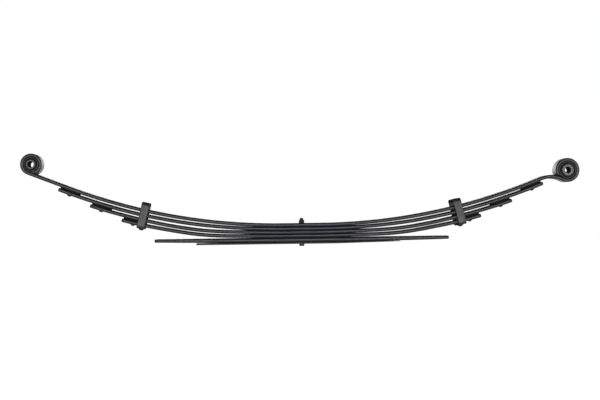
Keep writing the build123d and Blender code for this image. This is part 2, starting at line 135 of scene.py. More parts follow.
# ---------------------------------------------------------------- side-view geometry
def ease(value):
    """Smooth step from 0 to 1."""
    value = min(max(value, 0.0), 1.0)
    return value * value * (3.0 - 2.0 * value)


def top_radius(order, reach):
    """Radius of a leaf's top face about its arc centre."""
    radius = ARC_RADIUS + (order - 1) * LEAF_THICKNESS
    for lower in range(2, order + 1):
        height, start, full = LEAF_GAPS[lower]
        radius += FILM_GAP * ease((reach - SEAT_HALF) / FILM_LENGTH)
        radius += (height - FILM_GAP) * ease((reach - start) / (full - start))
        change = ease((reach - TIP_GAP_START) / (TIP_GAP_FULL - TIP_GAP_START))
        radius += (TIP_GAPS[lower] - height) * change
    return radius


def bend_angle(order, reach):
    return asin(max(reach - SEAT_HALF, 0.0) / top_radius(order, reach))


def leaf_station(side, order, reach):
    """(point, normal) of a leaf's top face in the side view."""
    radius = top_radius(order, reach)
    angle = bend_angle(order, reach)
    x = min(reach, SEAT_HALF) + radius * sin(angle)
    return (side * x, ARC_CENTER_Z - radius * cos(angle)), (-side * sin(angle), cos(angle))


def polar(center, radius, angle):
    return (center[0] + radius * cos(radians(angle)), center[1] + radius * sin(radians(angle)))


def direction(start, end):
    return degrees(atan2(end[1] - start[1], end[0] - start[0]))


def reach_from_tip(order, setback):
    return TIP_REACH[order] - setback * cos(bend_angle(order, TIP_REACH[order]))


rear_eye_radius = BUSHING_RADII["rear"] + EYE_FIT
rear_swing = ARC_RADIUS - rear_eye_radius
rear_lead = degrees(atan2(REAR_EYE_RUN, rear_swing))
rear_arc = degrees(asin((REAR_EYE_REACH - SEAT_HALF) / hypot(rear_swing, REAR_EYE_RUN))) - rear_lead
REAR_EYE = (
    -SEAT_HALF - rear_swing * sin(radians(rear_arc)) - REAR_EYE_RUN * cos(radians(rear_arc)),
    ARC_CENTER_Z - rear_swing * cos(radians(rear_arc)) + REAR_EYE_RUN * sin(radians(rear_arc)),
)
rear_start = 270.0 - rear_arc
rear_wrap = rear_start - (REAR_ROLL_END - 360.0)

FRONT_EYE = (FRONT_EYE_REACH, PACK_HEIGHT + FRONT_EYE_HEIGHT)
front_eye_radius = BUSHING_RADII["front"] + EYE_FIT
front_arc_center = (SEAT_HALF, ARC_CENTER_Z)


def circle_meeting(first, first_radius, second, second_radius):
    """Lower meeting point of two circles of the side view."""
    across, up = second[0] - first[0], second[1] - first[1]
    distance = hypot(across, up)
    run = (first_radius**2 - second_radius**2 + distance**2) / (2 * distance)
    rise = sqrt(first_radius**2 - run**2)
    base = (first[0] + run * across / distance, first[1] + run * up / distance)
    return (base[0] - rise * up / distance, base[1] + rise * across / distance)


neck_center = circle_meeting(
    FRONT_EYE, front_eye_radius + GOOSENECK_RADIUS, front_arc_center, ARC_RADIUS + GOOSENECK_RADIUS
)
front_arc_end = direction(front_arc_center, neck_center)
neck_start = direction(neck_center, front_arc_center)
neck_end = direction(neck_center, FRONT_EYE)
front_start = neck_end + 180.0
front_wrap = FRONT_ROLL_END + 360.0 - front_start
EYES = {"rear": REAR_EYE, "front": FRONT_EYE}


def arc_stations(center, radius, start, end, step, inward):
    """Stations along an arc of the side view, without its first point."""
    count = max(2, int(abs(radians(end - start)) * radius / step) + 1)
    sign = -1 if inward else 1
    stations = []
    for i in range(1, count + 1):
        angle = start + (end - start) * i / count
        normal = (sign * cos(radians(angle)), sign * sin(radians(angle)))
        stations.append((polar(center, radius, angle), normal))
    return stations


def line_stations(start, end, normal, step):
    count = max(1, int(hypot(end[0] - start[0], end[1] - start[1]) / step))
    return [
        ((start[0] + (end[0] - start[0]) * i / count, start[1] + (end[1] - start[1]) * i / count), normal)
        for i in range(1, count + 1)
    ]


TOE_EDGE = 0.4  # thickness of a roll's end at its very edge
STEP = 6.0  # length of a mesh cell along a leaf
ROLL_STEP = 2.2  # and round an eye


def main_leaf_stations(side):
    """Stations of half of the main leaf, from the bolt to the end of its rolled eye."""
    stations = [((0.0, PACK_HEIGHT), (0.0, 1.0))]
    stations += line_stations((0.0, PACK_HEIGHT), (side * SEAT_HALF, PACK_HEIGHT), (0.0, 1.0), STEP)
    if side > 0:
        stations += arc_stations(front_arc_center, ARC_RADIUS, -90.0, front_arc_end, STEP, True)
        stations += arc_stations(neck_center, GOOSENECK_RADIUS, neck_start, neck_end, STEP / 2, False)
        stations += arc_stations(
            FRONT_EYE, front_eye_radius, front_start, front_start + front_wrap + ROLL_TOE, ROLL_STEP, True
        )
        return stations
    rear_center = (-SEAT_HALF, ARC_CENTER_Z)
    stations += arc_stations(rear_center, ARC_RADIUS, -90.0, -90.0 - rear_arc, STEP, True)
    last, normal = stations[-1]
    stations += line_stations(last, polar(REAR_EYE, rear_eye_radius, rear_start), normal, STEP)
    stations += arc_stations(
        REAR_EYE, rear_eye_radius, rear_start, rear_start - rear_wrap - ROLL_TOE, ROLL_STEP, True
    )
    return stations


# ---------------------------------------------------------------- meshes
def lay_mesh(name, points, faces, flow, edge, sharp):
    """Mesh object from points in millimetres. flow is a place on the piece and edge marks its edges."""
    mesh = bpy.data.meshes.new(name)
    mesh.from_pydata([[c * MM for c in point] for point in points], [], faces)
    mesh.validate()
    flow_layer = mesh.attributes.new("flow", "FLOAT_VECTOR", "POINT")
    flow_layer.data.foreach_set("vector", [c for point in flow for c in point])
    edge_layer = mesh.attributes.new("edge", "FLOAT", "POINT")
    edge_layer.data.foreach_set("value", edge)
    tidy = bmesh.new()
    tidy.from_mesh(mesh)
    bmesh.ops.recalc_face_normals(tidy, faces=tidy.faces)
    tidy.to_mesh(mesh)
    tidy.free()
    mesh.shade_smooth()
    mesh.set_sharp_from_angle(angle=radians(sharp))
    obj = bpy.data.objects.new(name, mesh)
    bpy.context.scene.collection.objects.link(obj)
    return obj


SIDE_ROUNDING = 0.64  # radius of a rolled bar's side, in thicknesses
BAR_CORNER = 0.9  # rounding between a bar's face and its side
SIDE_TRIM = 0.74  # share of a side's arc that its corners leave
CORNER_STEPS = 4
SIDE_STEPS = 8
FACE_STEPS = 6
SWEPT_SHARP = 38.0  # edges sharper than this many degrees stay crisp
TURNED_SHARP = 35.0
NUT_SHARP = 25.0


def bar_section(half_width, top, bottom):
    """Closed outline (y, depth, edge mark) of a rolled bar with convex sides."""
    thickness = bottom - top
    middle = (top + bottom) / 2
    radius = SIDE_ROUNDING * thickness
    span = asin(0.5 / SIDE_ROUNDING)
    center = half_width - radius
    corner = min(BAR_CORNER, 0.25 * thickness)
    corner_y = center + radius * cos(span)
    trim = SIDE_TRIM * span
    side = []
    start = (center + radius * cos(trim), -radius * sin(trim))
    for i in range(CORNER_STEPS):
        t = i / CORNER_STEPS
        a, b, c = (1 - t) ** 2, 2 * t * (1 - t), t * t
        y = a * (corner_y - corner) + b * corner_y + c * start[0]
        z = -(a + b) * thickness / 2 + c * start[1]
        side.append((y, middle + z, sin(pi * t)))
    for i in range(SIDE_STEPS + 1):
        angle = trim * (2 * i / SIDE_STEPS - 1)
        side.append((center + radius * cos(angle), middle + radius * sin(angle), 0.0))
    side += [(y, 2 * middle - depth, mark) for y, depth, mark in reversed(side[:CORNER_STEPS])]
    flat = corner_y - corner
    face = [flat * (2 * i / FACE_STEPS - 1) for i in range(1, FACE_STEPS)]
    outline = [(y, top, 0.0) for y in face] + side
    outline += [(-y, bottom, 0.0) for y in face]
    outline += [(-y, depth, mark) for y, depth, mark in reversed(side)]
    return outline


def strap_section(half_width, top, bottom, corner):
    """Closed outline (y, depth, edge mark) of a flat strap with rounded edges."""
    corner = min(corner, 0.45 * (bottom - top))
    outline = []
    upper, lower = top + corner, bottom - corner
    centers = [(1, upper, -90), (1, lower, 0), (-1, lower, 90), (-1, upper, 180)]
    for sign, depth, start in centers:
        for i in range(CORNER_STEPS + 1):
            angle = radians(start + 90 * i / CORNER_STEPS)
            y = sign * (half_width - corner) + corner * cos(angle)
            outline.append((y, depth + corner * sin(angle), sin(pi * i / CORNER_STEPS)))
    return outline


def sweep(name, rows):
    """Closed bar from rows of (origin, normal, lateral, distance along, section outline)."""
    points, flow, edge, faces = [], [], [], []
    for origin, normal, lateral, along, outline in rows:
        for y, depth, mark in outline:
            points.append([o + l * y - n * depth for o, l, n in zip(origin, lateral, normal)])
            flow.append((along, y, depth))
            edge.append(mark)
    count = len(points) // len(rows)
    for row in range(len(rows) - 1):
        for i in range(count):
            j = (i + 1) % count
            a, b = row * count, (row + 1) * count
            faces.append((a + i, a + j, b + j, b + i))
    faces.append(tuple(range(count - 1, -1, -1)))
    faces.append(tuple(range(len(points) - count, len(points))))
    return lay_mesh(name, points, faces, flow, edge, SWEPT_SHARP)


NOSE_STEPS = (1.0, 0.8, 0.6, 0.42, 0.28, 0.16, 0.07, 0.02, 0.0)


def inset(radius, distance):
    """How far a rounding of that radius cuts in at a distance from the end."""
    if distance >= radius or radius <= 0.0:
        return 0.0
    return radius - sqrt(radius**2 - (radius - distance) ** 2)


def rounded_end(end, inner, along, sign, reach):
    """Rows (point, normal, distance along, distance from the end) that close a bar."""
    (x, z), normal = end
    (inner_x, inner_z), _ = inner
    away = hypot(x - inner_x, z - inner_z)
    ahead = ((x - inner_x) / away, (z - inner_z) / away)
    rows = []
    for share in NOSE_STEPS:
        back = share * reach
        rows.append(((x - ahead[0] * back, z - ahead[1] * back), normal, along + sign * back, back))
    return rows


def bar(name, stations, width, thickness_at, nose, plan, section, both_ends=False):
    """Bar across the spring along (point, normal) stations of its top face.

    nose rounds its last end in the side view, and plan its corners seen from above.
    """
    lengths = [0.0]
    for (a, _), (b, _) in zip(stations, stations[1:]):
        lengths.append(lengths[-1] + hypot(b[0] - a[0], b[1] - a[1]))
    total = lengths[-1]
    reach = max(nose, plan)
    first = reach + 0.5 if both_ends else -1.0
    rows = [
        (point, normal, along, reach)
        for (point, normal), along in zip(stations, lengths)
        if first < along < total - reach - 0.5
    ]
    if reach > 0.0:
        rows += rounded_end(stations[-1], stations[-2], total, -1, reach)
    else:
        rows.append((*stations[-1], total, reach))
    if both_ends:
        rows = rounded_end(stations[0], stations[1], 0.0, 1, reach)[::-1] + rows
    made = []
    for point, normal, along, back in rows:
        cut = inset(nose, back)
        thickness = thickness_at(point)
        outline = section(width / 2 - inset(plan, back), cut, thickness - cut)
        made.append(((point[0], 0.0, point[1]), (normal[0], 0.0, normal[1]), (0.0, 1.0, 0.0), along, outline))
    return sweep(name, made)


def lathe(name, outline, origin, axis, up, segments=64, closed=False, shape=None):
    """Body turned about an axis from points (radius, height). A closed outline makes a ring.

    shape, if given, changes a radius from (angle, radius, height).
    """
    axis, up = Vector(axis).normalized(), Vector(up).normalized()
    side = axis.cross(up)
    origin = Vector(origin)
    points, flow, rings = [], [], []
    for radius, height in outline:
        middle = origin + axis * height
        if radius < 1e-6:
            rings.append([len(points)])
            points.append(tuple(middle))
            flow.append((0.0, 0.0, height))
            continue
        rings.append(list(range(len(points), len(points) + segments)))
        for k in range(segments):
            angle = 2 * pi * k / segments
            r = shape(angle, radius, height) if shape else radius
            points.append(tuple(middle + up * (r * cos(angle)) + side * (r * sin(angle))))
            flow.append((radius * cos(angle), radius * sin(angle), height))
    pairs = list(zip(rings, rings[1:]))
    if closed:
        pairs.append((rings[-1], rings[0]))
    faces = []
    for a, b in pairs:
        for k in range(segments):
            m = (k + 1) % segments
            if len(a) == 1:
                faces.append((a[0], b[m], b[k]))
            elif len(b) == 1:
                faces.append((a[k], a[m], b[0]))
            else:
                faces.append((a[k], a[m], b[m], b[k]))
    return lay_mesh(name, points, faces, flow, [0.0] * len(points), TURNED_SHARP)


def round_corners(points, radii, steps=5, closed=True):
    """Polyline with its corners rounded, each by its own radius."""
    count = len(points)
    made = []
    for i, point in enumerate(points):
        end = not closed and i in (0, count - 1)
        if end or radii[i] <= 0:
            made.append(point)
            continue
        before, after = points[i - 1], points[(i + 1) % count]
        u = (before[0] - point[0], before[1] - point[1])
        v = (after[0] - point[0], after[1] - point[1])
        lu, lv = hypot(*u), hypot(*v)
        u, v = (u[0] / lu, u[1] / lu), (v[0] / lv, v[1] / lv)
        opening = acos(max(-1.0, min(1.0, u[0] * v[0] + u[1] * v[1])))
        reach = min(radii[i] / tan(opening / 2), 0.49 * lu, 0.49 * lv)
        radius = reach * tan(opening / 2)
        across = (u[0] + v[0], u[1] + v[1])
        away = radius / sin(opening / 2) / hypot(*across)
        center = (point[0] + across[0] * away, point[1] + across[1] * away)
        start = atan2(point[1] + u[1] * reach - center[1], point[0] + u[0] * reach - center[0])
        end = atan2(point[1] + v[1] * reach - center[1], point[0] + v[0] * reach - center[0])
        turn = (end - start + pi) % (2 * pi) - pi
        for k in range(steps + 1):
            angle = start + turn * k / steps
            made.append((center[0] + radius * cos(angle), center[1] + radius * sin(angle)))
    return made


# ---------------------------------------------------------------- materials
class Tree:
    """Short words for building a material's nodes."""

    def __init__(self, name):
        self.material = bpy.data.materials.new(name)
        self.material.use_nodes = True
        self.nodes = self.material.node_tree.nodes
        self.links = self.material.node_tree.links
        self.shader = self.nodes["Principled BSDF"]

    def add(self, kind, **settings):
        node = self.nodes.new(kind)
        for key, value in settings.items():
            setattr(node, key, value)
        return node

    def link(self, source, target):
        self.links.new(source, target)

    def place(self, size):
        """The piece's own coordinates, in cells of (along, across, through) millimetres."""
        where = self.add("ShaderNodeAttribute", attribute_name="flow")
        scale = self.add("ShaderNodeMapping")
        scale.inputs["Scale"].default_value = [1.0 / s for s in size]
        self.link(where.outputs["Vector"], scale.inputs["Vector"])
        return scale.outputs["Vector"]

    def noise(self, size, detail=3.0, roughness=0.55, distortion=0.0):
        node = self.add("ShaderNodeTexNoise")
        node.inputs["Scale"].default_value = 1.0
        node.inputs["Detail"].default_value = detail
        node.inputs["Roughness"].default_value = roughness
        node.inputs["Distortion"].default_value = distortion
        self.link(self.place(size), node.inputs["Vector"])
        return node.outputs["Fac"]

    def ramp(self, source, low, high, start=0.0, end=1.0):
        """A number moved from the range (low, high) to (start, end)."""
        node = self.add("ShaderNodeMapRange")
        node.clamp = True
        for socket, value in zip(("From Min", "From Max", "To Min", "To Max"), (low, high, start, end)):
            node.inputs[socket].default_value = value
        self.link(source, node.inputs["Value"])
        return node.outputs["Result"]

    def combine(self, operation, a, b):
        node = self.add("ShaderNodeMath", operation=operation)
        self.link(a, node.inputs[0])
        self.link(b, node.inputs[1])
        return node.outputs[0]

    def blend(self, amount, first, second):
        """Colour between two; each is a colour or another node's output."""
        node = self.add("ShaderNodeMix", data_type="RGBA")
        self.link(amount, node.inputs["Factor"])
        colours = [s for s in node.inputs if s.type == "RGBA"]
        for socket, value in zip(colours, (first, second)):
            if isinstance(value, (tuple, list)):
                socket.default_value = (*value, 1.0)
            else:
                self.link(value, socket)
        return [s for s in node.outputs if s.type == "RGBA"][0]

    def shine(self, level, grazing=0.0):
        """Specular level that fades where the surface turns away."""
        facing = self.add("ShaderNodeLayerWeight")
        facing.inputs["Blend"].default_value = 0.5
        fade = self.ramp(facing.outputs["Facing"], 0.3, 0.78, level, grazing)
        self.link(fade, self.shader.inputs["Specular IOR Level"])

    def bump(self, layers):
        """Chained bumps from (height, distance in millimetres)."""
        normal = None
        for height, distance in layers:
            node = self.add("ShaderNodeBump")
            node.inputs["Strength"].default_value = 1.0
            node.inputs["Distance"].default_value = distance * MM
            self.link(height, node.inputs["Height"])
            if normal is not None:
                self.link(normal, node.inputs["Normal"])
            normal = node.outputs["Normal"]
        self.link(normal, self.shader.inputs["Normal"])


EDGE_HIGHLIGHT = 1.7  # how much brighter the painted edge highlight is than the specks
PAINT_SHINE = 0.46


def paint(name, dark, pale, dust_and_highlight, rough, waves, grazing, cast):
    """Black paint over rolled steel: smudged and a little dusty, with a painted highlight lightening the
    edges.

    Close to the start of a piece it leans towards the cast, which is cooler on the leaves.
    """
    tree = Tree(name)
    smudge = tree.noise((60.0, 16.0, 16.0), 4.0, 0.6, 0.4)
    blotch = tree.noise((11.0, 4.5, 4.5), 3.0, 0.6)
    speck = tree.noise((2.6, 2.2, 2.2), 5.0, 0.65)
    fine = tree.noise((0.7, 0.7, 0.7), 2.0)
    tone = tree.ramp(smudge, 0.36, 0.66)
    colour = tree.blend(tone, dark, pale)
    grit = tree.ramp(speck, 0.52, 0.72, 0.0, 0.5)
    colour = tree.blend(grit, colour, dust_and_highlight)
    # Painted highlight: the marked edges are lightened towards a brighter copy of the speck colour, in
    # noise-broken patches.
    mark = tree.add("ShaderNodeAttribute", attribute_name="edge")
    patch = tree.ramp(tree.noise((9.0, 4.0, 4.0), 4.0, 0.7), 0.5, 0.68)
    highlight_mask = tree.combine("MULTIPLY", mark.outputs["Fac"], patch)
    colour = tree.blend(highlight_mask, colour, [EDGE_HIGHLIGHT * c for c in dust_and_highlight])
    split = tree.add("ShaderNodeSeparateXYZ")
    tree.link(tree.place((1.0, 1.0, 1.0)), split.inputs["Vector"])
    colour = tree.blend(tree.ramp(split.outputs["X"], 60.0, 260.0, 0.7, 0.0), colour, cast)
    tree.link(colour, tree.shader.inputs["Base Color"])
    low, high = rough
    patchy = tree.ramp(blotch, 0.3, 0.7, -0.07, 0.08)
    gloss = tree.combine("ADD", tree.ramp(smudge, 0.3, 0.7, low, high), patchy)
    tree.link(gloss, tree.shader.inputs["Roughness"])
    tree.shine(PAINT_SHINE, grazing)
    rolled = tree.noise((34.0, 9.0, 9.0), 2.0)
    tree.bump([(rolled, waves), (blotch, 0.35 * waves), (speck, 0.08), (fine, 0.02)])
    return tree.material


def rubber(name):
    tree = Tree(name)
    cloud = tree.noise((7.0, 7.0, 7.0), 4.0, 0.6)
    grain = tree.noise((0.6, 0.6, 0.6), 3.0)
    colour = tree.blend(tree.ramp(cloud, 0.38, 0.66), (0.007, 0.007, 0.007), (0.018, 0.018, 0.018))
    tree.link(colour, tree.shader.inputs["Base Color"])
    tree.link(tree.ramp(cloud, 0.3, 0.7, 0.55, 0.8), tree.shader.inputs["Roughness"])
    tree.shine(0.3)
    tree.bump([(cloud, 0.12), (grain, 0.03)])
    return tree.material


def pad_plastic(name):
    tree = Tree(name)
    cloud = tree.noise((9.0, 9.0, 9.0), 3.0, 0.6)
    grain = tree.noise((0.5, 0.5, 0.5), 2.0)
    colour = tree.blend(tree.ramp(cloud, 0.4, 0.65), (0.003, 0.003, 0.003), (0.01, 0.01, 0.01))
    tree.link(colour, tree.shader.inputs["Base Color"])
    tree.link(tree.ramp(cloud, 0.3, 0.7, 0.5, 0.68), tree.shader.inputs["Roughness"])
    tree.shine(0.05)
    tree.bump([(grain, 0.03)])
    return tree.material


def sleeve_steel(name):
    """Turned steel tube, oiled and a little stained."""
    tree = Tree(name)
    rings = tree.noise((40.0, 40.0, 0.35), 2.0)
    stain = tree.noise((6.0, 6.0, 12.0), 4.0, 0.6)
    colour = tree.blend(tree.ramp(stain, 0.4, 0.68), (0.05, 0.05, 0.052), (0.018, 0.018, 0.018))
    tree.link(colour, tree.shader.inputs["Base Color"])
    tree.link(tree.ramp(stain, 0.3, 0.7, 0.34, 0.55), tree.shader.inputs["Roughness"])
    tree.shine(0.6)
    tree.bump([(rings, 0.02), (stain, 0.03)])
    return tree.material


# The third colour tints the dust specks and, made brighter, the painted edge highlight.
SPRING_PAINT = paint(
    "spring_paint", (0.002, 0.002, 0.0025), (0.008, 0.008, 0.009), (0.035, 0.035, 0.037),
    rough=(0.3, 0.46), waves=0.4, grazing=0.4, cast=(0.006, 0.008, 0.018),
)
CLIP_PAINT = paint(
    "clip_paint", (0.005, 0.005, 0.0055), (0.018, 0.018, 0.019), (0.045, 0.045, 0.047),
    rough=(0.32, 0.5), waves=0.5, grazing=0.0, cast=(0.012, 0.012, 0.013),
)
FASTENER = paint(
    "fastener_paint", (0.003, 0.003, 0.003), (0.009, 0.009, 0.01), (0.05, 0.05, 0.052),
    rough=(0.3, 0.44), waves=0.05, grazing=0.1, cast=(0.005, 0.005, 0.006),
)
SHELL_PAINT = paint(
    "shell_paint", (0.006, 0.006, 0.007), (0.016, 0.016, 0.017), (0.06, 0.06, 0.06),
    rough=(0.32, 0.48), waves=0.05, grazing=0.2, cast=(0.012, 0.012, 0.013),
)
RUBBER = rubber("bushing_rubber")
PAD_PLASTIC = pad_plastic("pad_plastic")
SLEEVE_STEEL = sleeve_steel("sleeve_steel")


def settle(obj, material, slot, body, *nodes):
    """Give a piece its material and body, and hide the CAD nodes it stands for. slot is not used."""
    obj.data.materials.append(material)
    if body:
        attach(obj, body)
    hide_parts(*nodes)
    return obj


# ---------------------------------------------------------------- leaves
def leaf_stations(side, order):
    """Stations of half of a graduated leaf, from the bolt to its tip."""
    count = int(TIP_REACH[order] / STEP)
    return [leaf_station(side, order, TIP_REACH[order] * i / count) for i in range(count + 1)]


def bend_with_arm(obj):
    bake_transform(obj)


def leaf_thickness(point):
    return LEAF_THICKNESS


def main_leaf_thickness(point):
    """Thickness of the main leaf: each roll's slanted end runs down to a toe."""
    side = "front" if point[0] > 0 else "rear"
    inner = BUSHING_RADII[side] + EYE_FIT
    outer = inner + LEAF_THICKNESS
    if hypot(point[0] - EYES[side][0], point[1] - EYES[side][1]) > inner + 0.01:
        return LEAF_THICKNESS
    angle = direction(EYES[side], point) % 360.0
    lead = angle - FRONT_ROLL_END if side == "front" else REAR_ROLL_END - angle
    if not 0.0 < lead < ROLL_TOE + 0.01:
        return LEAF_THICKNESS
    rest = max(ROLL_TOE - lead, 0.0)
    chord = sin(radians(ROLL_TOE)) * inner * outer
    chord /= inner * sin(radians(rest)) + outer * sin(radians(lead))
    return max(chord - inner, TOE_EDGE)


LEAF_NAMES = {2: "second_leaf", 3: "third_leaf", 4: "fourth_leaf"}

for name, side in SIDES.items():
    half = bar(
        f"main_leaf_{name}", main_leaf_stations(side), LEAF_WIDTH, main_leaf_thickness, 0.0, 0.0, bar_section,
    )
    settle(half, SPRING_PAINT, "spring_paint", None, "main_leaf")
    bend_with_arm(half)
    for order, leaf in LEAF_NAMES.items():
        half = bar(
            f"{leaf}_{name}", leaf_stations(side, order), LEAF_WIDTH, leaf_thickness,
            TIP_NOSE_RADIUS, TIP_CORNER, bar_section,
        )
        settle(half, SPRING_PAINT, "spring_paint", None, leaf)
        bend_with_arm(half)


def overload_thickness(point):
    rise = max(abs(point[0]) - OVERLOAD_FLAT_HALF, 0.0) / (OVERLOAD_HALF - OVERLOAD_FLAT_HALF)
    return OVERLOAD_THICKNESS - (OVERLOAD_THICKNESS - OVERLOAD_TIP_THICKNESS) * rise**2


overload_top = HELPER_THICKNESS + OVERLOAD_THICKNESS
overload = bar(
    "overload_leaf_bar",
    [((-OVERLOAD_HALF, overload_top), (0.0, 1.0))]
    + line_stations((-OVERLOAD_HALF, overload_top), (OVERLOAD_HALF, overload_top), (0.0, 1.0), STEP),
    LEAF_WIDTH, overload_thickness, OVERLOAD_NOSE_RADIUS, TIP_CORNER, bar_section, both_ends=True,
)
settle(overload, SPRING_PAINT, "spring_paint", "leaf_pack", "overload_leaf")


def helper_thickness(point):
    share = max(point[0] - HELPER_TAPER_START, 0.0) / (HELPER_FRONT - HELPER_TAPER_START)
    return HELPER_THICKNESS - (HELPER_THICKNESS - HELPER_FRONT_THICKNESS) * share


HELPER_ROUNDING = 0.45
helper = bar(
    "lower_helper_bar",
    [((-HELPER_REAR, HELPER_THICKNESS), (0.0, 1.0))]
    + line_stations((-HELPER_REAR, HELPER_THICKNESS), (HELPER_FRONT, HELPER_THICKNESS), (0.0, 1.0), STEP),
    LEAF_WIDTH, helper_thickness, HELPER_ROUNDING, TIP_CORNER, bar_section, both_ends=True,
)
settle(helper, SPRING_PAINT, "spring_paint", "leaf_pack", "lower_helper_leaf")


# ---------------------------------------------------------------- centre bolt and nut
THREAD_START = PACK_HEIGHT - 4.0
THREAD_RUNOUT = 1.2  # plain end above the thread
THREAD_ROWS = 6  # for each turn
BOLT_TIP_DROPS = ((0.9, 0.25), (1.4, 0.0))  # the chamfered end: narrower by, and below the end by
bolt_end = PACK_HEIGHT + BOLT_STAND


def threaded(angle, radius, height):
    """Radius of the bolt's thread, from its own plain radius."""
    if height < THREAD_START or radius < BOLT_RADIUS - 0.05:
        return radius
    phase = ((height - THREAD_START) / THREAD_PITCH - angle / (2 * pi)) % 1.0
    return radius - THREAD_DEPTH * abs(2 * phase - 1)


head_outline = round_corners(
    [
        (0.0, -BOLT_HEAD_HEIGHT), (BOLT_HEAD_RADIUS, -BOLT_HEAD_HEIGHT),
        (BOLT_HEAD_RADIUS, 0.0), (BOLT_RADIUS, 0.0),
    ],
    [0, 2.0, 0.2, 0], 8, closed=False,
)
thread_length = bolt_end - THREAD_RUNOUT - THREAD_START
thread_rows = int(thread_length / THREAD_PITCH * THREAD_ROWS)
thread = [(BOLT_RADIUS, THREAD_START + thread_length * i / thread_rows) for i in range(thread_rows + 1)]
bolt_tip = [(BOLT_RADIUS - less, bolt_end - drop) for less, drop in BOLT_TIP_DROPS] + [(0.0, bolt_end)]
bolt = lathe(
    "center_bolt_turned", head_outline + thread + bolt_tip,
    (0, 0, 0), (0, 0, 1), (1, 0, 0), 72, shape=threaded,
)
settle(bolt, FASTENER, "fastener", "leaf_pack", "center_bolt")

NUT_BORE_RADIUS = 4.8
NUT_BORE_CHAMFER = 0.6
NUT_FACE_SHARE = 0.97  # radius of its flat end, over half its width across flats
nut_flat = NUT_FLATS / 2


def hexagon_radius(angle):
    return nut_flat / cos((angle + pi / 6) % (pi / 3) - pi / 6)


def nut_mesh(segments=96):
    """Hexagon nut with both ends turned to a cone."""
    points, flow, faces = [], [], []
    rows = [
        ("bore", NUT_BORE_RADIUS + NUT_BORE_CHAMFER, 0.0),
        ("cone", NUT_FACE_SHARE, 0.0),
        ("corner", 1.0, 0.0),
        ("corner", 1.0, 1.0),
        ("cone", NUT_FACE_SHARE, 1.0),
        ("bore", NUT_BORE_RADIUS + NUT_BORE_CHAMFER, 1.0),
        ("bore", NUT_BORE_RADIUS, 1.0 - NUT_BORE_CHAMFER / NUT_HEIGHT),
        ("bore", NUT_BORE_RADIUS, NUT_BORE_CHAMFER / NUT_HEIGHT),
    ]
    for kind, size, share in rows:
        for k in range(segments):
            angle = 2 * pi * k / segments
            radius, drop = size, 0.0
            if kind == "cone":
                radius = size * nut_flat
            if kind == "corner":
                radius = hexagon_radius(angle)
                drop = (radius - NUT_FACE_SHARE * nut_flat) * tan(radians(NUT_CONE))
            height = NUT_HEIGHT * share + (drop if share < 0.5 else -drop)
            points.append((radius * cos(angle), radius * sin(angle), PACK_HEIGHT + height))
            flow.append(points[-1])
    count = len(rows)
    for row in range(count):
        a, b = row * segments, (row + 1) % count * segments
        for k in range(segments):
            m = (k + 1) % segments
            faces.append((a + k, a + m, b + m, b + k))
    return lay_mesh("center_nut_hexagon", points, faces, flow, [0.0] * len(points), NUT_SHARP)


settle(nut_mesh(), FASTENER, "fastener", "leaf_pack", "center_nut")


# ---------------------------------------------------------------- pads, rivets and clips
def place_on(side, order, reach, depth):
    """(origin, along, square) on a leaf, at a depth under its top face, in three dimensions."""
    (x, z), (nx, nz) = leaf_station(side, order, reach)
    return (x - nx * depth, 0.0, z - nz * depth), (nz, 0.0, -nx), (nx, 0.0, nz)


PAD_EDGE = 0.5  # rounding of a pad's long edges
CLIP_EDGE = 1.6  # and of a clip's strap
CLIP_STEP = 4.0


def tip_pad(name, side, order):
    middle_reach = reach_from_tip(order, PAD_SETBACK + PAD_LENGTH[order] / 2)
    radius = top_radius(order, middle_reach)
    half_angle = degrees(PAD_LENGTH[order] / 2 / radius)
    middle = side * degrees(bend_angle(order, middle_reach)) - 90
    height = TIP_GAPS[order]
    center = (side * SEAT_HALF, ARC_CENTER_Z)
    inner = radius - height + PART_CLEARANCE
    first = middle - half_angle
    normal = (-cos(radians(first)), -sin(radians(first)))
    stations = [(polar(center, inner, first), normal)]
    stations += arc_stations(center, inner, first, middle + half_angle, 3.0, True)

    def pad_thickness(point):
        return height - 2 * PART_CLEARANCE

    pad = bar(
        f"{name}_pad_{order}", stations, PAD_WIDTH, pad_thickness, PAD_EDGE, 5.0,
        lambda half, top, bottom: strap_section(half, top, bottom, PAD_EDGE), both_ends=True,
    )
    settle(pad, PAD_PLASTIC, "tip_pad", ARMS[name], f"{name}_tip_pad_{order}")


def rivet(label, body, node, side, order, reach, above, below, flat_radius, flat_height, dome, dome_height):
    """Rivet with a flat head above the leaf and a dome below."""
    origin, along, square = place_on(side, order, reach, 0.0)
    seat = -LEAF_THICKNESS - below
    ball = (dome**2 + dome_height**2) / (2 * dome_height)
    span = asin(dome / ball)
    outline = [(0.0, seat - dome_height)]
    for i in range(1, 11):
        angle = 0.985 * span * i / 10
        outline.append((ball * sin(angle), seat - dome_height + ball * (1 - cos(angle))))
    outline += [(dome, seat - 0.12), (dome, seat)]
    outline += [(RIVET_SHANK / 2, seat), (RIVET_SHANK / 2, above - flat_height)]
    outline += [(flat_radius, above - flat_height), (flat_radius, above - 0.3), (flat_radius - 0.3, above)]
    outline.append((0.0, above))
    obj = lathe(label, outline, origin, square, along, 40)
    settle(obj, FASTENER, "fastener", body, node)


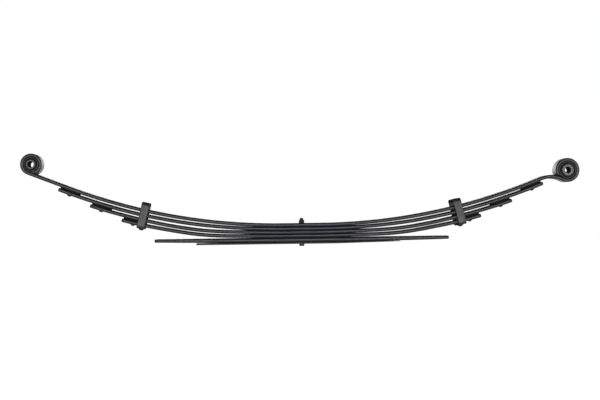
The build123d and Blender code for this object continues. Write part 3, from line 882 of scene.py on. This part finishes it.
def rebound_clip(name, side):
    """Strap riveted under the fourth leaf, bent up both sides and folded over the main leaf."""
    reach = CLIP_REACH[name]
    origin, along, square = place_on(side, 4, reach, LEAF_THICKNESS)
    turn = radians(CLIP_YAW[name])
    across = (-along[0] * sin(turn), cos(turn), -along[2] * sin(turn))
    forward = (along[0] * cos(turn), sin(turn), along[2] * cos(turn))
    stack = top_radius(4, reach) + LEAF_THICKNESS - ARC_RADIUS
    half = CLIP_INNER_HALF
    top = stack + CLIP_STAND - CLIP_THICKNESS
    end = CLIP_END_GAP / 2
    base = -PART_CLEARANCE
    corners = [(end, top), (half, top), (half, base), (-half, base), (-half, top), (-end, top)]
    inner = round_corners(
        corners, [0, CLIP_TOP_BEND, CLIP_BASE_BEND, CLIP_BASE_BEND, CLIP_TOP_BEND, 0], 9, closed=False
    )
    spaced = [inner[0]]
    for a, b in zip(inner, inner[1:]):
        pieces = max(1, int(hypot(b[0] - a[0], b[1] - a[1]) / CLIP_STEP))
        for i in range(1, pieces + 1):
            spaced.append((a[0] + (b[0] - a[0]) * i / pieces, a[1] + (b[1] - a[1]) * i / pieces))
    rows, travelled = [], 0.0
    count = len(spaced)
    for i, (u, v) in enumerate(spaced):
        before, after = spaced[max(i - 1, 0)], spaced[min(i + 1, count - 1)]
        du, dv = after[0] - before[0], after[1] - before[1]
        length = hypot(du, dv)
        inward = (dv / length, -du / length)
        if i:
            travelled += hypot(u - spaced[i - 1][0], v - spaced[i - 1][1])
        point = [o + a * u + s * v for o, a, s in zip(origin, across, square)]
        normal = [a * inward[0] + s * inward[1] for a, s in zip(across, square)]
        section = strap_section(CLIP_STRAP_WIDTH / 2, 0.0, CLIP_THICKNESS, CLIP_EDGE)
        rows.append((point, normal, forward, travelled, section))
    clip = sweep(f"{name}_clip_strap", rows)
    settle(clip, CLIP_PAINT, "clip_paint", ARMS[name], f"{name}_rebound_clip")


for name, side in SIDES.items():
    for order in LEAF_NAMES:
        tip_pad(name, side, order)
        rivet(
            f"{name}_pad_rivet_{order}", ARMS[name], f"{name}_tip_rivet_{order}", side, order,
            reach_from_tip(order, RIVET_SETBACK), TIP_GAPS[order] - PART_CLEARANCE, PART_CLEARANCE,
            RIVET_FLAT_HEAD / 2, RIVET_FLAT_HEIGHT, RIVET_HEAD / 2, RIVET_HEAD_HEIGHT,
        )
    rebound_clip(name, side)
    rivet(
        f"{name}_strap_rivet", ARMS[name], f"{name}_clip_rivet", side, 4, CLIP_REACH[name],
        PART_CLEARANCE + CLIP_RIVET_TOP_HEIGHT, PART_CLEARANCE + CLIP_THICKNESS,
        CLIP_RIVET_HEAD / 2, CLIP_RIVET_TOP_HEIGHT, CLIP_RIVET_DOME / 2, CLIP_RIVET_DOME_HEIGHT,
    )


# ---------------------------------------------------------------- bushings
def mirrored(half):
    """Closed outline from the half with positive heights."""
    return [*half, *[(radius, -height) for radius, height in reversed(half)]]


def ring(label, eye, half, radii):
    outline = round_corners(mirrored(half), [*radii, *reversed(radii)], 4)
    return lathe(label, outline, (eye[0], 0, eye[1]), (0, 1, 0), (1, 0, 0), 96, closed=True)


RUBBER_LIP = 3.5  # how far the rubber stands past its shell at the sleeve


for name in SIDES:
    eye = EYES[name]
    shell_radius = BUSHING_RADII[name]
    rubber_radius = shell_radius - SHELL_WALL
    sleeve_radius = SLEEVE_RADII[name]
    core = sleeve_radius + EYE_FIT
    wall = rubber_radius - core
    shell = ring(
        f"{name}_shell_ring", eye,
        [(rubber_radius, SHELL_HALF), (shell_radius, SHELL_HALF)],
        [0.3, 0.7],
    )
    settle(shell, SHELL_PAINT, "bushing_shell", ARMS[name], f"{name}_bushing_shell")
    lip = SHELL_HALF + RUBBER_LIP
    molded = ring(
        f"{name}_rubber_ring", eye,
        [
            (core, lip),
            (core + 0.32 * wall, lip),
            (core + 0.40 * wall, SHELL_HALF - 1.0),
            (core + 0.86 * wall, SHELL_HALF - 3.0),
            (rubber_radius, SHELL_HALF - 1.5),
        ],
        [0.6, 0.8, 0.6, 0.5, 0.2],
    )
    settle(molded, RUBBER, "bushing_rubber", ARMS[name], f"{name}_bushing_rubber")
    tube = ring(
        f"{name}_sleeve_tube", eye,
        [(SLEEVE_BORE_RADIUS, SLEEVE_HALF), (sleeve_radius, SLEEVE_HALF)],
        [0.8, 0.8],
    )
    settle(tube, SLEEVE_STEEL, "sleeve_steel", f"{name}_sleeve", f"{name}_inner_sleeve")


# ---------------------------------------------------------------- floor, light and camera
FLOOR_Z = -0.95
FLOOR_RADIUS = 80.0
FLOOR_SIDES = 96
FLOOR_GLOW = (1.5, 6.0, 0.3, 0.9)  # from this distance to that in metres, from this strength to that


def floor_disc():
    """Pale studio floor, lit to white further out."""
    mesh = bpy.data.meshes.new("floor")
    angles = [2 * pi * i / FLOOR_SIDES for i in range(FLOOR_SIDES)]
    rim = [(FLOOR_RADIUS * cos(angle), FLOOR_RADIUS * sin(angle), FLOOR_Z) for angle in angles]
    mesh.from_pydata(rim, [], [tuple(range(FLOOR_SIDES))])
    obj = bpy.data.objects.new("floor", mesh)
    bpy.context.scene.collection.objects.link(obj)
    tree = Tree("floor_white")
    where = tree.add("ShaderNodeTexCoord")
    distance = tree.add("ShaderNodeVectorMath", operation="LENGTH")
    tree.link(where.outputs["Object"], distance.inputs[0])
    tree.shader.inputs["Base Color"].default_value = (0.75, 0.75, 0.75, 1.0)
    tree.shader.inputs["Roughness"].default_value = 0.9
    tree.shader.inputs["Specular IOR Level"].default_value = 0.1
    tree.shader.inputs["Emission Color"].default_value = (1.0, 1.0, 1.0, 1.0)
    glow = tree.ramp(distance.outputs["Value"], *FLOOR_GLOW)
    tree.link(glow, tree.shader.inputs["Emission Strength"])
    obj.data.materials.append(tree.material)


floor_disc()

world = bpy.data.worlds.new("studio")
bpy.context.scene.world = world
world.use_nodes = True
sky = world.node_tree
background = sky.nodes["Background"]
background.inputs["Color"].default_value = (1.0, 1.0, 1.0, 1.0)
where = sky.nodes.new("ShaderNodeTexCoord")
parts = sky.nodes.new("ShaderNodeSeparateXYZ")
fade = sky.nodes.new("ShaderNodeMapRange")
fade.interpolation_type = "SMOOTHSTEP"
HORIZON_LIGHT = 1.02
ZENITH_LIGHT = 0.07
SKY_FADE = (0.13, 0.42, HORIZON_LIGHT, ZENITH_LIGHT)  # from this height to that on a unit sphere
for socket, value in zip(("From Min", "From Max", "To Min", "To Max"), SKY_FADE):
    fade.inputs[socket].default_value = value
sky.links.new(where.outputs["Generated"], parts.inputs["Vector"])
sky.links.new(parts.outputs["Z"], fade.inputs["Value"])
sky.links.new(fade.outputs["Result"], background.inputs["Strength"])


def softbox(name, place, target, width, height, radiance):
    light = bpy.data.lights.new(name, "AREA")
    light.shape = "RECTANGLE"
    light.size = width
    light.size_y = height
    light.energy = radiance * pi * width * height
    obj = bpy.data.objects.new(name, light)
    obj.location = place
    obj.rotation_mode = "QUATERNION"
    obj.rotation_quaternion = (Vector(target) - Vector(place)).to_track_quat("-Z", "Y")
    bpy.context.scene.collection.objects.link(obj)


softbox("front_softbox", (0.5, -7.8, 0.55), (0.0, 0.0, 0.08), 8.0, 1.5, 10.0)
softbox("back_softbox", (-1.0, 7.8, 1.2), (0.0, 0.0, 0.08), 6.0, 2.0, 1.6)

# The camera looks along +Y from in front of the spring, a little to its left, and is rolled by ROLL.
CAMERA_PLACE = (-0.09645, -4.81175, 0.08115)
CAMERA_LENS = 109.05
SENSOR_WIDTH = 36.0
ROLL = 0.0131
TURN_RIGHT = 0.019257  # slopes of the line of sight from +Y
TILT_UP = 0.007428

camera_data = bpy.data.cameras.new("camera")
camera_data.sensor_width = SENSOR_WIDTH
camera_data.lens = CAMERA_LENS
camera = bpy.data.objects.new("camera", camera_data)
bpy.context.scene.collection.objects.link(camera)
bpy.context.scene.camera = camera

right = Vector((cos(ROLL), 0.0, -sin(ROLL)))
up = Vector((sin(ROLL), 0.0, cos(ROLL)))
gaze = (Vector((0.0, 1.0, 0.0)) + right * TURN_RIGHT + up * TILT_UP).normalized()
level = (right - gaze * right.dot(gaze)).normalized()
above = level.cross(gaze)
camera.location = CAMERA_PLACE
camera.rotation_mode = "QUATERNION"
camera.rotation_quaternion = Matrix((level, above, -gaze)).transposed().to_quaternion()
camera_data.clip_start = 0.05
camera_data.clip_end = 300.0

bpy.context.scene.view_settings.view_transform = "Standard"
